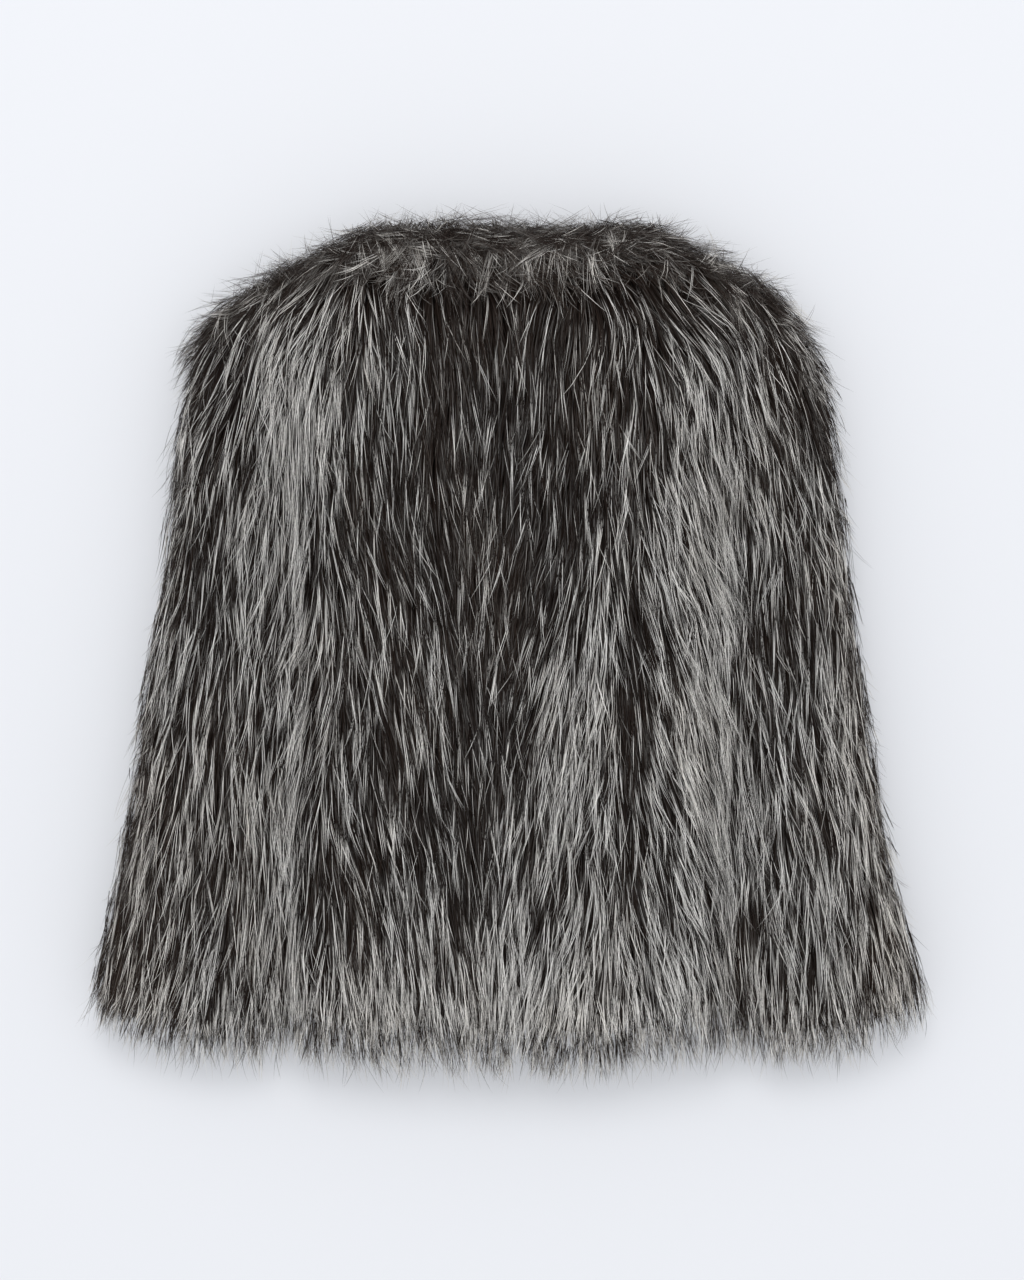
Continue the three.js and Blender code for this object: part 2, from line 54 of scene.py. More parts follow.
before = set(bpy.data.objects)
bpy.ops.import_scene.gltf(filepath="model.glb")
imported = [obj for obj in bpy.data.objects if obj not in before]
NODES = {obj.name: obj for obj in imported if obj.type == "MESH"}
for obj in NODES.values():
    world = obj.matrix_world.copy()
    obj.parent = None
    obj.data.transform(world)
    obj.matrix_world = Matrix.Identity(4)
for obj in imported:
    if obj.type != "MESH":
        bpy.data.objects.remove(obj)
CAD_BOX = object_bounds()

# Metres, in the frame of the solids
FOLD_LEVEL = 0.02815
CELL = 0.0025
MARGIN = 0.03
STATIONS = 5
TUFT_SIZE = (0.015, 0.026)
SIDE_REACH = 0.0125
HEM_REACH = 0.0142
CAMERA_AIM = (0.0021, 0.0073, 0.04)

# Cells along each side of the lattice that the noise and the tufts repeat on
LATTICE = 64

# The tables of the fur's flow and tone are in millimetres from the middle of the pattern
PATTERN_SHIFT = (0.5, 4.9)

# How the hair leans on the body, in degrees from straight down, towards +X above 0
BODY_LEAN = [
    {"x": -190, "lean": -16},
    {"x": -160, "lean": -13},
    {"x": -138, "lean": 5},
    {"x": -95, "lean": 11},
    {"x": -45, "lean": 9},
    {"x": -14, "lean": 0},
    {"x": 20, "lean": -9},
    {"x": 60, "lean": -7},
    {"x": 92, "lean": 4},
    {"x": 120, "lean": 13},
    {"x": 160, "lean": 17},
    {"x": 190, "lean": 12},
]

# How the hair of the neck band lies, in degrees from straight down
BAND_LEAN = [
    {"x": -150, "lean": -70},
    {"x": -115, "lean": -62},
    {"x": -85, "lean": -44},
    {"x": -60, "lean": -10},
    {"x": -25, "lean": 34},
    {"x": 20, "lean": 58},
    {"x": 80, "lean": 66},
    {"x": 120, "lean": 66},
    {"x": 160, "lean": 62},
]

# Soft patches of lighter (above 0) and darker hair on the side that is up; the darker patch near the inner
# side of the right cuff is painted shade of the seam between the body and the right sleeve
PATCHES = [
    {"where": "neck band", "x": 4, "y": 298, "wide": 250, "high": 40, "add": -0.13},
    {"where": "left of the neck", "x": -112, "y": 254, "wide": 30, "high": 42, "add": 0.08},
    {"where": "right of the neck", "x": 152, "y": 284, "wide": 44, "high": 24, "add": -0.06},
    {"where": "right of the middle, high", "x": 28, "y": 78, "wide": 42, "high": 62, "add": -0.12},
    {"where": "left of the middle, low", "x": -112, "y": -126, "wide": 20, "high": 130, "add": -0.08},
    {"where": "above the hem", "x": -32, "y": -182, "wide": 20, "high": 60, "add": -0.1},
    {"where": "left upper arm", "x": -238, "y": 146, "wide": 26, "high": 120, "add": -0.08},
    {"where": "upper middle of the back", "x": -30, "y": 160, "wide": 50, "high": 130, "add": -0.28},
    {"where": "lower middle of the back", "x": -28, "y": -30, "wide": 34, "high": 100, "add": -0.1},
    {"where": "upper back, right", "x": 72, "y": 190, "wide": 52, "high": 90, "add": -0.09},
    {"where": "upper back, left", "x": -112, "y": 120, "wide": 28, "high": 100, "add": -0.07},
    {"where": "left shoulder", "x": -174, "y": 150, "wide": 32, "high": 76, "add": 0.21},
    {"where": "left ridge, low", "x": -184, "y": -190, "wide": 18, "high": 104, "add": 0.1},
    {"where": "left furrow", "x": -148, "y": -232, "wide": 16, "high": 70, "add": -0.15},
    {"where": "below the neck", "x": 0, "y": 226, "wide": 26, "high": 30, "add": -0.08},
    {"where": "left of the dark middle", "x": -68, "y": 190, "wide": 20, "high": 70, "add": 0.07},
    {"where": "upper back, far left", "x": -110, "y": 200, "wide": 52, "high": 28, "add": 0.09},
    {"where": "middle of the back", "x": 12, "y": -54, "wide": 16, "high": 42, "add": -0.1},
    {"where": "right arm", "x": 214, "y": 40, "wide": 26, "high": 150, "add": -0.05},
    {"where": "right ridge", "x": 149, "y": -22, "wide": 25, "high": 190, "add": 0.15},
    {"where": "right furrow", "x": 94, "y": -46, "wide": 9, "high": 110, "add": -0.15},
    {"where": "right ridge, low", "x": 132, "y": -90, "wide": 16, "high": 44, "add": 0.1},
    {"where": "hem, right of the middle", "x": 52, "y": -240, "wide": 22, "high": 28, "add": 0.1},
    {"where": "right of the middle", "x": 52, "y": -94, "wide": 22, "high": 80, "add": 0.13},
    {"where": "right shoulder", "x": 208, "y": 206, "wide": 32, "high": 52, "add": -0.07},
    {"where": "right upper arm", "x": 248, "y": 160, "wide": 20, "high": 60, "add": -0.1},
    # Painted shade: darker hair along the seam between the body and the right sleeve, near the cuff
    {"where": "painted seam shade by the right cuff", "x": 185, "y": -262, "wide": 10, "high": 56, "add": -0.2},
]


# Fields over the plan of the jacket


def soft_step(low, high, value):
    share = np.clip((value - low) / (high - low), 0.0, 1.0)
    return share * share * (3.0 - 2.0 * share)


def soft_noise(x, y, size, seed):
    """Smooth noise from -1 to 1 with hills about as wide as size."""
    lattice = np.random.default_rng(seed).uniform(-1.0, 1.0, (LATTICE, LATTICE))
    gx, gy = x / size + 31.0, y / size + 31.0
    column, row = np.floor(gx).astype(int), np.floor(gy).astype(int)
    u, v = gx - column, gy - row
    u, v = u * u * (3.0 - 2.0 * u), v * v * (3.0 - 2.0 * v)
    left, right = column % LATTICE, (column + 1) % LATTICE
    near, far = row % LATTICE, (row + 1) % LATTICE
    low = lattice[near, left] * (1 - u) + lattice[near, right] * u
    high = lattice[far, left] * (1 - u) + lattice[far, right] * u
    return low * (1 - v) + high * v


class PileMap:
    """Heights of the pile over the plan, the node under each cell and the way to the outline."""

    def __init__(self):
        low, high = CAD_BOX
        self.x = np.arange(low.x - MARGIN, high.x + MARGIN, CELL)
        self.y = np.arange(low.y - MARGIN, high.y + MARGIN, CELL)
        self.names = sorted(NODES)
        places, faces, owners = [], [], []
        for number, name in enumerate(self.names):
            mesh = NODES[name].data
            mesh.calc_loop_triangles()
            first = len(places)
            places.extend(vertex.co.copy() for vertex in mesh.vertices)
            faces.extend([first + i for i in triangle.vertices] for triangle in mesh.loop_triangles)
            owners.extend([number] * len(mesh.loop_triangles))
        tree = BVHTree.FromPolygons(places, faces)
        self.top, self.top_owner = self.cast(tree, owners, 0.3, -1.0)
        self.under, self.under_owner = self.cast(tree, owners, -0.1, 1.0)
        self.inside = self.top_owner >= 0
        self.top = self.spread(self.top, FOLD_LEVEL, 0.75)
        self.under = self.spread(self.under, FOLD_LEVEL, 0.75)
        self.hair_top = self.blurred(self.top, 9)
        self.hair_under = self.blurred(self.under, 9)
        self.edge = self.distance_in(self.closed_outline(0.012))
        self.slope_y, self.slope_x = np.gradient(self.top, CELL)
        self.in_y, self.in_x = np.gradient(self.edge, CELL)

    def cast(self, tree, owners, start, way):
        heights = np.full((len(self.y), len(self.x)), np.nan)
        owner = np.full(heights.shape, -1)
        direction = Vector((0.0, 0.0, way))
        for row, y in enumerate(self.y):
            for column, x in enumerate(self.x):
                hit, _, face, _ = tree.ray_cast(Vector((x, y, start)), direction)
                if hit is not None:
                    heights[row, column] = hit.z
                    owner[row, column] = owners[face]
        return heights, owner

    def spread(self, heights, level, keep):
        """Carries the heights past the outline, falling towards a level, and takes the facets off."""
        made = heights.copy()
        for _ in range(int(MARGIN / CELL) + 14):
            empty = np.isnan(made)
            if not empty.any():
                break
            padded = np.pad(made, 1, constant_values=np.nan)
            near = np.stack([padded[:-2, 1:-1], padded[2:, 1:-1], padded[1:-1, :-2], padded[1:-1, 2:]])
            count = (~np.isnan(near)).sum(0)
            total = np.nansum(near, 0)
            ready = empty & (count > 0)
            made[ready] = level + (total[ready] / count[ready] - level) * keep
        return self.blurred(np.nan_to_num(made, nan=level), 2)

    def blurred(self, heights, times):
        made = heights
        for _ in range(times):
            padded = np.pad(made, 1, mode="edge")
            around = padded[:-2, 1:-1] + padded[2:, 1:-1] + padded[1:-1, :-2] + padded[1:-1, 2:]
            made = (around + 2 * made) / 6.0
        return made

    def distance_in(self, inside):
        """Metres to the rim of a mask of cells: above 0 inside it, below 0 outside."""
        rim = inside & ~(
            np.roll(inside, 1, 0) & np.roll(inside, -1, 0) & np.roll(inside, 1, 1) & np.roll(inside, -1, 1)
        )
        rows, columns = np.nonzero(rim)
        rim_x, rim_y = self.x[columns], self.y[rows]
        nearest = np.empty(inside.shape)
        for row, y in enumerate(self.y):
            away = (self.x[:, None] - rim_x[None]) ** 2 + (y - rim_y[None]) ** 2
            nearest[row] = np.sqrt(away.min(1))
        return np.where(inside, nearest, -nearest)

    def closed_outline(self, reach):
        """The cells of the jacket with the narrow notches beside the cuffs filled, as hair bridges them."""
        wide = self.distance_in(self.inside) > -reach
        return self.inside | (self.distance_in(wide) > reach)

    def at(self, field, x, y):
        gx = np.clip((x - self.x[0]) / CELL, 0, len(self.x) - 1.001)
        gy = np.clip((y - self.y[0]) / CELL, 0, len(self.y) - 1.001)
        column, row = gx.astype(int), gy.astype(int)
        u, v = gx - column, gy - row
        low = field[row, column] * (1 - u) + field[row, column + 1] * u
        high = field[row + 1, column] * (1 - u) + field[row + 1, column + 1] * u
        return low * (1 - v) + high * v

    def owner_at(self, owners, x, y):
        column = np.clip(np.round((x - self.x[0]) / CELL).astype(int), 0, len(self.x) - 1)
        row = np.clip(np.round((y - self.y[0]) / CELL).astype(int), 0, len(self.y) - 1)
        return owners[row, column]


pile = PileMap()


def pattern_place(x, y):
    return x * 1000.0 - PATTERN_SHIFT[0], y * 1000.0 - PATTERN_SHIFT[1]


def from_table(rows, key, value, x):
    return np.interp(x, [row[key] for row in rows], [row[value] for row in rows])


def lean_of(x, y, band):
    """The way the hair points, in radians from straight down towards +X."""
    px, py = pattern_place(x, y)
    strength = 0.45 + 0.55 * soft_step(190, 40, py) * soft_step(-345, -210, py)
    body = from_table(BODY_LEAN, "x", "lean", px) * strength
    from_middle = np.where(px > 0, soft_step(20, 235, px), soft_step(85, 235, -px))
    shoulder = from_middle * soft_step(195, 288, py)
    body = body + shoulder * (np.sign(px) * 58.0 - body)
    out = soft_step(168, 300, np.abs(px))
    sleeve = np.sign(px) * (2.0 + 11.0 * out + (10.0 + 40.0 * out) * soft_step(130, 260, py))
    on_sleeve = soft_step(160, 182, np.abs(px)) * (1.0 - 0.5 * soft_step(160, 270, py))
    lean = body + on_sleeve * (sleeve - body)
    lean = np.where(band, from_table(BAND_LEAN, "x", "lean", px), lean)
    yoke = soft_step(200, 290, py)
    lean = lean + 9.0 * soft_noise(px, py * 0.6, 34.0, 5) * (0.5 + 1.6 * yoke)
    lean = lean + 6.0 * soft_noise(px, py, 15.0, 6) * (0.6 + 0.9 * yoke)
    return np.radians(lean)


def warmth_of(x, y):
    """How brown the hair is, from 0 to 1: most at the neck and along the outer sides of the sleeves."""
    px, py = pattern_place(x, y)
    warmth = 0.22 + 0.4 * soft_step(235, 320, np.abs(px)) + 0.3 * soft_step(235, 300, py)
    return warmth + 0.25 * soft_noise(px, py * 0.5, 30.0, 14)


def silver_of(x, y):
    """The share of silver in the hair, from 0 to 1."""
    px, py = pattern_place(x, y)
    share = np.full(px.shape, 0.14)
    for row in PATCHES:
        away = ((px - row["x"]) / row["wide"]) ** 2 + ((py - row["y"]) / row["high"]) ** 2
        share += row["add"] * np.exp(-away)
    share += 0.1 * soft_step(-200, -285, py) * soft_step(205, 170, np.abs(px))
    share += 0.07 * soft_noise(px, py * 0.3, 12.0, 11)
    share += 0.05 * soft_noise(px, py * 0.4, 40.0, 12)
    return np.clip(share, 0.03, 0.9)


# Hair


def locks_on(names, owners, spacing, rng, most=2.6, rim=1.0):
    """Root places of locks over the named nodes, closer together where the pile turns down.

    The third value ranks each lock from 0 to 1 so that the light ones spread evenly. Only locks within
    rim of the outline are kept, or within about twice that at the hem and cuffs."""
    numbers = [pile.names.index(name) for name in names]
    columns = np.arange(pile.x[0], pile.x[-1], spacing)
    rows = np.arange(pile.y[0], pile.y[-1], spacing)
    x, y = (a.ravel() for a in np.meshgrid(columns, rows))
    row, column = np.divmod(np.arange(len(x)), len(columns))
    x = x + np.where(row % 2, spacing / 2, 0.0)
    rank = column * 0.7549 + row * 0.5698
    field = pile.top if owners is pile.top_owner else pile.under
    slope_y, slope_x = np.gradient(field, CELL)
    steep = np.sqrt(1.0 + pile.at(slope_x, x, y) ** 2 + pile.at(slope_y, x, y) ** 2)
    wanted = np.minimum(steep, most)
    count = np.floor(wanted + rng.uniform(0, 1, len(x))).astype(int)
    x, y = np.repeat(x, count), np.repeat(y, count)
    moved = rng.uniform(0, 1, len(x)) < 0.3
    rank = (np.repeat(rank, count) + np.where(moved, rng.uniform(0, 1, len(x)), 0.0)) % 1.0
    x = x + rng.uniform(-0.6, 0.6, len(x)) * spacing
    y = y + rng.uniform(-0.6, 0.6, len(y)) * spacing
    to_hem = pile.at(pile.edge, x, y - 0.012)
    low = pattern_place(x, y)[1] < -262
    kept = np.isin(pile.owner_at(owners, x, y), numbers) & ~(low & (to_hem < 0.014))
    kept &= pile.at(pile.edge, x, y) < np.where(low, rim * 1.9, rim)
    return x[kept], y[kept], rank[kept]


def tuft_middles(x, y):
    """The middle of the tuft that each root belongs to, and a number from 0 to 1 for each tuft."""
    places = np.random.default_rng(31).uniform(-0.42, 0.42, (2, LATTICE, LATTICE))
    tags = np.random.default_rng(32).uniform(0.0, 1.0, (LATTICE, LATTICE))
    wide, high = TUFT_SIZE
    column, row = np.floor(x / wide).astype(int), np.floor(y / high).astype(int)
    nearest = np.full(x.shape, 1e9)
    middle_x, middle_y, tag = x.copy(), y.copy(), np.zeros(x.shape)
    for step_x in (-1, 0, 1):
        for step_y in (-1, 0, 1):
            c, r = column + step_x, row + step_y
            cell = (r % LATTICE, c % LATTICE)
            at_x = (c + 0.5 + places[0][cell]) * wide
            at_y = (r + 0.5 + places[1][cell]) * high
            away = ((x - at_x) / wide) ** 2 + ((y - at_y) / high) ** 2
            closer = away < nearest
            nearest = np.where(closer, away, nearest)
            middle_x, middle_y = np.where(closer, at_x, middle_x), np.where(closer, at_y, middle_y)
            tag = np.where(closer, tags[cell], tag)
    return middle_x, middle_y, nearest, tag


def line_point(lines, which, share):
    """Points on lines of stations, at shares of the way along; past 1 a line goes straight on."""
    last = lines.shape[1] - 1
    at = share * last
    station = np.clip(np.floor(at).astype(int), 0, last - 1)
    part = (at - station)[..., None]
    start = lines[which[:, None], station]
    end = lines[which[:, None], station + 1]
    return start + (end - start) * part


def grow_locks(x, y, length, band, past, turn):
    """Centre lines of locks in plan, each cut short where it would pass the outline by more than past."""
    steps = 8
    line = [np.stack([x, y], 1)]
    for step in range(steps):
        lean = lean_of(line[-1][:, 0], line[-1][:, 1], band) + turn * (1.0 + step / steps)
        way = np.stack([np.sin(lean), -np.cos(lean)], 1)
        line.append(line[-1] + way * (length / steps)[:, None])
    line = np.stack(line, 1)
    edge = pile.at(pile.edge, line[..., 0], line[..., 1])
    over = edge < -past[:, None]
    first = np.where(over.any(1), over.argmax(1), steps + 1)
    number = np.arange(len(x))
    before = np.clip(first - 1, 0, steps)
    after = np.clip(first, 0, steps)
    fall = edge[number, before] - edge[number, after]
    part = np.clip((edge[number, before] + past) / np.where(fall > 1e-6, fall, 1.0), 0.0, 1.0)
    share = np.where(first > steps, 1.0, (before + part) / steps)
    kept = (share * length > 0.011) & (first > 0)
    shares = share[kept, None] * np.linspace(0.0, 1.0, STATIONS)
    return line_point(line, number[kept], shares), kept, share[kept] * length[kept]


def hair_mesh(name, centres, width, roll, along_end, silver, tint):
    """One joined mesh of tapered hairs: each is a ribbon of three four-sided faces and a pointed tip."""
    count = len(centres)
    tangent = np.gradient(centres, axis=1)
    tangent /= np.linalg.norm(tangent, axis=2, keepdims=True) + 1e-12
    px, py = centres[..., 0], centres[..., 1]
    up = np.stack([-pile.at(pile.slope_x, px, py), -pile.at(pile.slope_y, px, py), np.ones(px.shape)], 2)
    up /= np.linalg.norm(up, axis=2, keepdims=True)
    flat = np.cross(tangent, up)
    flat /= np.linalg.norm(flat, axis=2, keepdims=True) + 1e-12
    high = np.cross(flat, tangent)
    side = flat * np.cos(roll)[:, None, None] + high * np.sin(roll)[:, None, None]
    taper = np.array([0.75, 1.0, 0.92, 0.62])
    half = side[:, :4] * (width[:, None] * taper / 2)[..., None]
    places = np.empty((count, 9, 3), np.float32)
    places[:, 0:8:2] = centres[:, :4] - half
    places[:, 1:8:2] = centres[:, :4] + half
    places[:, 8] = centres[:, 4]
    corners = np.array([0, 1, 3, 2, 2, 3, 5, 4, 4, 5, 7, 6, 6, 7, 8])
    loops = (np.arange(count)[:, None] * 9 + corners).ravel()
    starts = (np.arange(count)[:, None] * 15 + np.array([0, 4, 8, 12])).ravel()
    sizes = np.tile([4, 4, 4, 3], count)
    mesh = bpy.data.meshes.new(name)
    mesh.vertices.add(count * 9)
    mesh.vertices.foreach_set("co", places.ravel())
    mesh.loops.add(len(loops))
    mesh.loops.foreach_set("vertex_index", loops.astype(np.int32))
    mesh.polygons.add(len(starts))
    mesh.polygons.foreach_set("loop_start", starts.astype(np.int32))
    mesh.polygons.foreach_set("loop_total", sizes.astype(np.int32))
    mesh.polygons.foreach_set("use_smooth", np.ones(len(starts), bool))
    along = np.repeat(np.linspace(0.0, 1.0, STATIONS), 2)[:9][None] * along_end[:, None]
    values = {
        "along": along,
        "silver": np.repeat(silver[:, None], 9, 1),
        "tint": np.repeat(tint[:, None], 9, 1),
    }
    for key, value in values.items():
        layer = mesh.attributes.new(key, "FLOAT", "POINT")
        layer.data.foreach_set("value", value.astype(np.float32).ravel())
    rows = np.clip(np.floor(tint * 4.0), 0, 3)
    across = (rows + 0.06 + 0.86 * silver) / 4.0
    map_u = across[:, None] + np.tile([0.0, 0.006], 5)[:9][None]
    uv = np.stack([np.broadcast_to(map_u, along.shape), 0.02 + 0.96 * along], 2)
    layer = mesh.uv_layers.new(name="OFBake")
    layer.data.foreach_set("uv", uv.reshape(-1, 2)[loops].astype(np.float32).ravel())
    mesh.update(calc_edges=True)
    mesh.validate()
    return mesh


def add_piece(name, mesh, material):
    piece = bpy.data.objects.new(name, mesh)
    bpy.context.scene.collection.objects.link(piece)
    mesh.materials.append(material)
    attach(piece, "root")
    return piece


def grow_hair(
    roots, settings, rng, side="top", band=False, per_lock=(3, 2),
    length=None, lift=0.0015, wild=0.07, coarse=1.0,
):
    """Hairs of many locks: centre lines in three dimensions with their widths and tones."""
    x, y, rank = roots
    band = np.full(len(x), band)
    base = settings.hair_length if length is None else length
    lengths = base * rng.uniform(0.75, 1.15, len(x))
    px, py = pattern_place(x, y)
    hem = soft_step(-225, -275, py)
    on_cuff = soft_step(168, 190, np.abs(px))
    middle_x, middle_y, away, tag = tuft_middles(x, y)
    chance = rng.uniform(0, 1, len(x))
    past = 0.0005 - chance**0.8 * 0.012
    past += np.where(rng.uniform(0, 1, len(x)) < 0.06, rng.uniform(0.002, 0.009, len(x)), 0.0)
    inset = 0.026 - 0.012 * on_cuff - 0.011 * soft_step(270, 325, np.abs(px)) + 0.008 * (tag - 0.5)
    fringe = (inset + HEM_REACH) * chance**1.6
    at_hem = np.where(rng.uniform(0, 1, len(x)) < 0.24, fringe, -0.015 * chance) - inset
    past += hem * (at_hem - past - (0.0 if side == "top" else 0.004))
    turn = rng.normal(0.0, wild, len(x)) + 0.16 * (tag - 0.5)
    centre, kept, real = grow_locks(x, y, lengths, band, past, turn)
    share = silver_of(centre[:, 2, 0], centre[:, 2, 1])
    bright = rank[kept] < share
    number = np.repeat(np.arange(len(centre)), np.where(bright, per_lock[0], per_lock[1]))
    count = len(number)
    own = rng.uniform(0.7, 1.04, count) * np.where(bright[number], 1.0, 0.86)
    shares = own[:, None] * np.linspace(0.0, 1.0, STATIONS)
    plan = line_point(centre, number, shares)
    offset = rng.normal(0.0, settings.lock_width / 2.0, (count, 2))
    tight = rng.uniform(0.7, 0.98, len(centre))[number]
    plan = plan + offset[:, None] * (1.0 - tight[:, None] * shares)[..., None]
    gather = np.stack([(middle_x - x)[kept] * 0.3, (middle_y - y)[kept] * 0.12], 1)[number]
    plan = plan + gather[:, None] * (shares**1.4)[..., None]
    drift = rng.normal(0.0, 0.0017, (count, 2))
    plan = plan + drift[:, None] * (shares**2)[..., None]
    wave = rng.normal(0.0, 0.0004, (count, 2))
    plan = plan + wave[:, None] * np.sin(shares * rng.uniform(2.5, 6.5, count)[:, None])[..., None]
    top = pile.at(pile.hair_top, plan[..., 0], plan[..., 1])
    under = pile.at(pile.hair_under, plan[..., 0], plan[..., 1])
    depth = {"top": 1.0, "under": 0.0, "flank": rng.uniform(0.1, 0.9, len(centre))[number][:, None]}[side]
    body = under + (top - under) * depth - FOLD_LEVEL
    dome = (0.0032 * (1.0 - 3.2 * away) + 0.002 * (tag - 0.5))[kept][number]
    raised = rng.normal(lift, 0.0016, len(centre))[number] + rng.normal(0.0, 0.0009, count) + dome
    raised += np.where(bright[number], 0.0016, -0.0018)
    near = np.clip(np.abs(body) / 0.02, 0.25, 1.0)
    sunk = np.clip(1.0 - shares, 0, 1) ** 1.5
    way = -1.0 if side == "under" else 1.0
    z = FOLD_LEVEL + body * (1.0 - 0.34 * sunk) + way * raised[:, None] * near * shares**0.8
    z = np.maximum(z, 0.0006)
    lines = np.concatenate([plan, z[..., None]], 2)
    light = rng.uniform(0.6, 1.0, len(centre))[number] ** 0.7 * rng.uniform(0.7, 1.0, count)
    dark = rng.uniform(0.0, 1.0, count) ** 4 * 0.1
    tone = np.where(bright[number], light, dark)
    ruffled = 1.0 if band[0] else 0.0
    stray = rng.uniform(0, 1, count) < 0.05 + 0.1 * ruffled
    tone = np.where(stray, rng.uniform(0.4, 1.0, count) * (0.28 + 1.2 * share[number]), tone)
    warmth = warmth_of(centre[:, 2, 0], centre[:, 2, 1]) + rng.normal(0.0, 0.14, len(centre))
    tint = np.clip(warmth[number] + rng.normal(0.0, 0.08, count), 0, 0.999)
    widths = settings.hair_width * rng.uniform(0.7, 1.2, count) * np.where(tone > 0.3, 1.0, 1.7) * coarse
    roll = rng.normal(0.0, 0.5, count)
    short = np.clip(real / lengths[kept], 0.4, 1.0)[number]
    along_end = np.clip(own * (0.8 + 0.2 * short), 0.5, 1.0)
    return lines, widths, roll, along_end, np.clip(tone, 0, 1), tint


def edge_wisps(names, clusters, settings, rng):
    """Fine hair in small clusters that stands out past the outline of the named nodes."""
    numbers = [pile.names.index(name) for name in names]
    deep = np.where(pile.y < -0.255, 0.048, 0.024)[:, None]
    near = (pile.edge > 0.003) & (pile.edge < deep) & np.isin(pile.top_owner, numbers)
    rows, columns = np.nonzero(near)
    _, py = pattern_place(pile.x[columns], pile.y[rows])
    weight = 1.0 + 3.0 * soft_step(180, 260, py) + 0.6 * soft_step(-260, -300, py)
    picked = rng.choice(len(rows), clusters, p=weight / weight.sum())
    x, y = pile.x[columns[picked]], pile.y[rows[picked]]
    _, py = pattern_place(x, y)
    high, low = soft_step(215, 270, py), soft_step(-225, -290, py)
    out_x, out_y = -pile.at(pile.in_x, x, y), -pile.at(pile.in_y, x, y)
    lean = lean_of(x, y, np.zeros(clusters, bool))
    share = rng.uniform(0.15, 0.5, clusters) * (0.7 + 0.9 * high) * (1.0 - 0.6 * low)
    loose = 0.1 + 0.22 * high
    way_x = out_x * share + np.sin(lean) * (1.0 - share) + rng.normal(0.0, 1.0, clusters) * loose
    way_y = out_y * share - np.cos(lean) * (1.0 - share) + rng.normal(0.0, 1.0, clusters) * loose
    length = rng.uniform(0.016, 0.036, clusters) * (1.0 + 0.35 * low + 0.2 * high)
    bend = rng.normal(0.0, 0.12, clusters) * (1.0 + 0.6 * high)
    light = rng.uniform(0, 1, clusters) < 0.35 + 0.3 * low - 0.15 * high
    tone = np.where(light, rng.uniform(0.35, 0.8, clusters), rng.uniform(0.02, 0.16, clusters))
    lift = rng.uniform(-0.012, 0.002, clusters)
    pointed = (rng.uniform(0, 1, clusters) < 0.05 + 0.2 * high).astype(float)
    length = length * (1.0 + 0.3 * pointed)
    each = np.repeat(np.arange(clusters), rng.integers(3, 8, clusters) + (9 * pointed).astype(int))
    count = len(each)
    held = pointed[each]
    x, y = x[each], y[each]
    off_x, off_y = rng.normal(0.0, 1.0, (2, count)) * (0.0022 + 0.0014 * held)
    spread = 0.1 - 0.07 * held
    way_x = way_x[each] + rng.normal(0.0, 1.0, count) * spread
    way_y = way_y[each] + rng.normal(0.0, 1.0, count) * spread
    size = np.hypot(way_x, way_y)
    way_x, way_y = way_x / size, way_y / size
    length = length[each] * (rng.uniform(0.6, 1.1, count) + 0.12 * held)
    bend = bend[each] + rng.normal(0.0, 1.0, count) * spread
    steps = np.linspace(0.0, 1.0, STATIONS)
    close = 1.0 - 0.8 * held[:, None] * steps
    plan_x = x[:, None] + off_x[:, None] * close + length[:, None] * (
        way_x[:, None] * steps - (way_y * bend)[:, None] * steps**2
    )
    plan_y = y[:, None] + off_y[:, None] * close + length[:, None] * (
        way_y[:, None] * steps + (way_x * bend)[:, None] * steps**2
    )
    beyond = -pile.at(pile.edge, plan_x[:, -1], plan_y[:, -1])
    kept = beyond < np.where(rng.uniform(0, 1, count) < 0.15, 0.02, 0.009)
    kept &= np.abs(plan_x[:, -1]) < CAD_BOX[1].x + SIDE_REACH
    kept &= np.abs(plan_y[:, -1]) < CAD_BOX[1].y + HEM_REACH
    level = pile.at(pile.hair_top, plan_x, plan_y)
    z = np.maximum(level + lift[each][:, None] * (1.0 - steps * 0.4), 0.001)
    lines = np.stack([plan_x, plan_y, z], 2)[kept]
    silver = (tone[each] * rng.uniform(0.7, 1.1, count))[kept]
    count = len(lines)
    widths = settings.hair_width * rng.uniform(0.5, 0.95, count)
    tint = rng.uniform(0.2, 0.99, count)
    return lines, widths, rng.normal(0.0, 0.5, count), np.full(count, 0.85), silver, tint


# Materials


def new_material(name):
    material = bpy.data.materials.new(name)
    material.use_nodes = True
    return material, material.node_tree.nodes, material.node_tree.links


def colour_ramp(nodes, stops):
    ramp = nodes.new("ShaderNodeValToRGB")
    ramp.color_ramp.interpolation = "LINEAR"
    elements = ramp.color_ramp.elements
    elements[0].position, elements[0].color = stops[0]
    elements[1].position, elements[1].color = stops[-1]
    for position, colour in stops[1:-1]:
        element = elements.new(position)
        element.color = colour
    return ramp


def read_attribute(nodes, name):
    reader = nodes.new("ShaderNodeAttribute")
    reader.attribute_type = "GEOMETRY"
    reader.attribute_name = name
    return reader.outputs["Fac"]


def mix_colours(nodes, links, factor, first, second):
    mix = nodes.new("ShaderNodeMix")
    mix.data_type = "RGBA"
    for socket, value in (("Factor_Float", factor), ("A_Color", first), ("B_Color", second)):
        target = next(s for s in mix.inputs if s.identifier == socket)
        if hasattr(value, "links"):
            links.new(value, target)
        else:
            target.default_value = value
    return next(s for s in mix.outputs if s.identifier == "Result_Color")


def grey(value):
    return (value, value, value, 1.0)


def opaque(colour):
    return tuple(colour) + (1.0,)


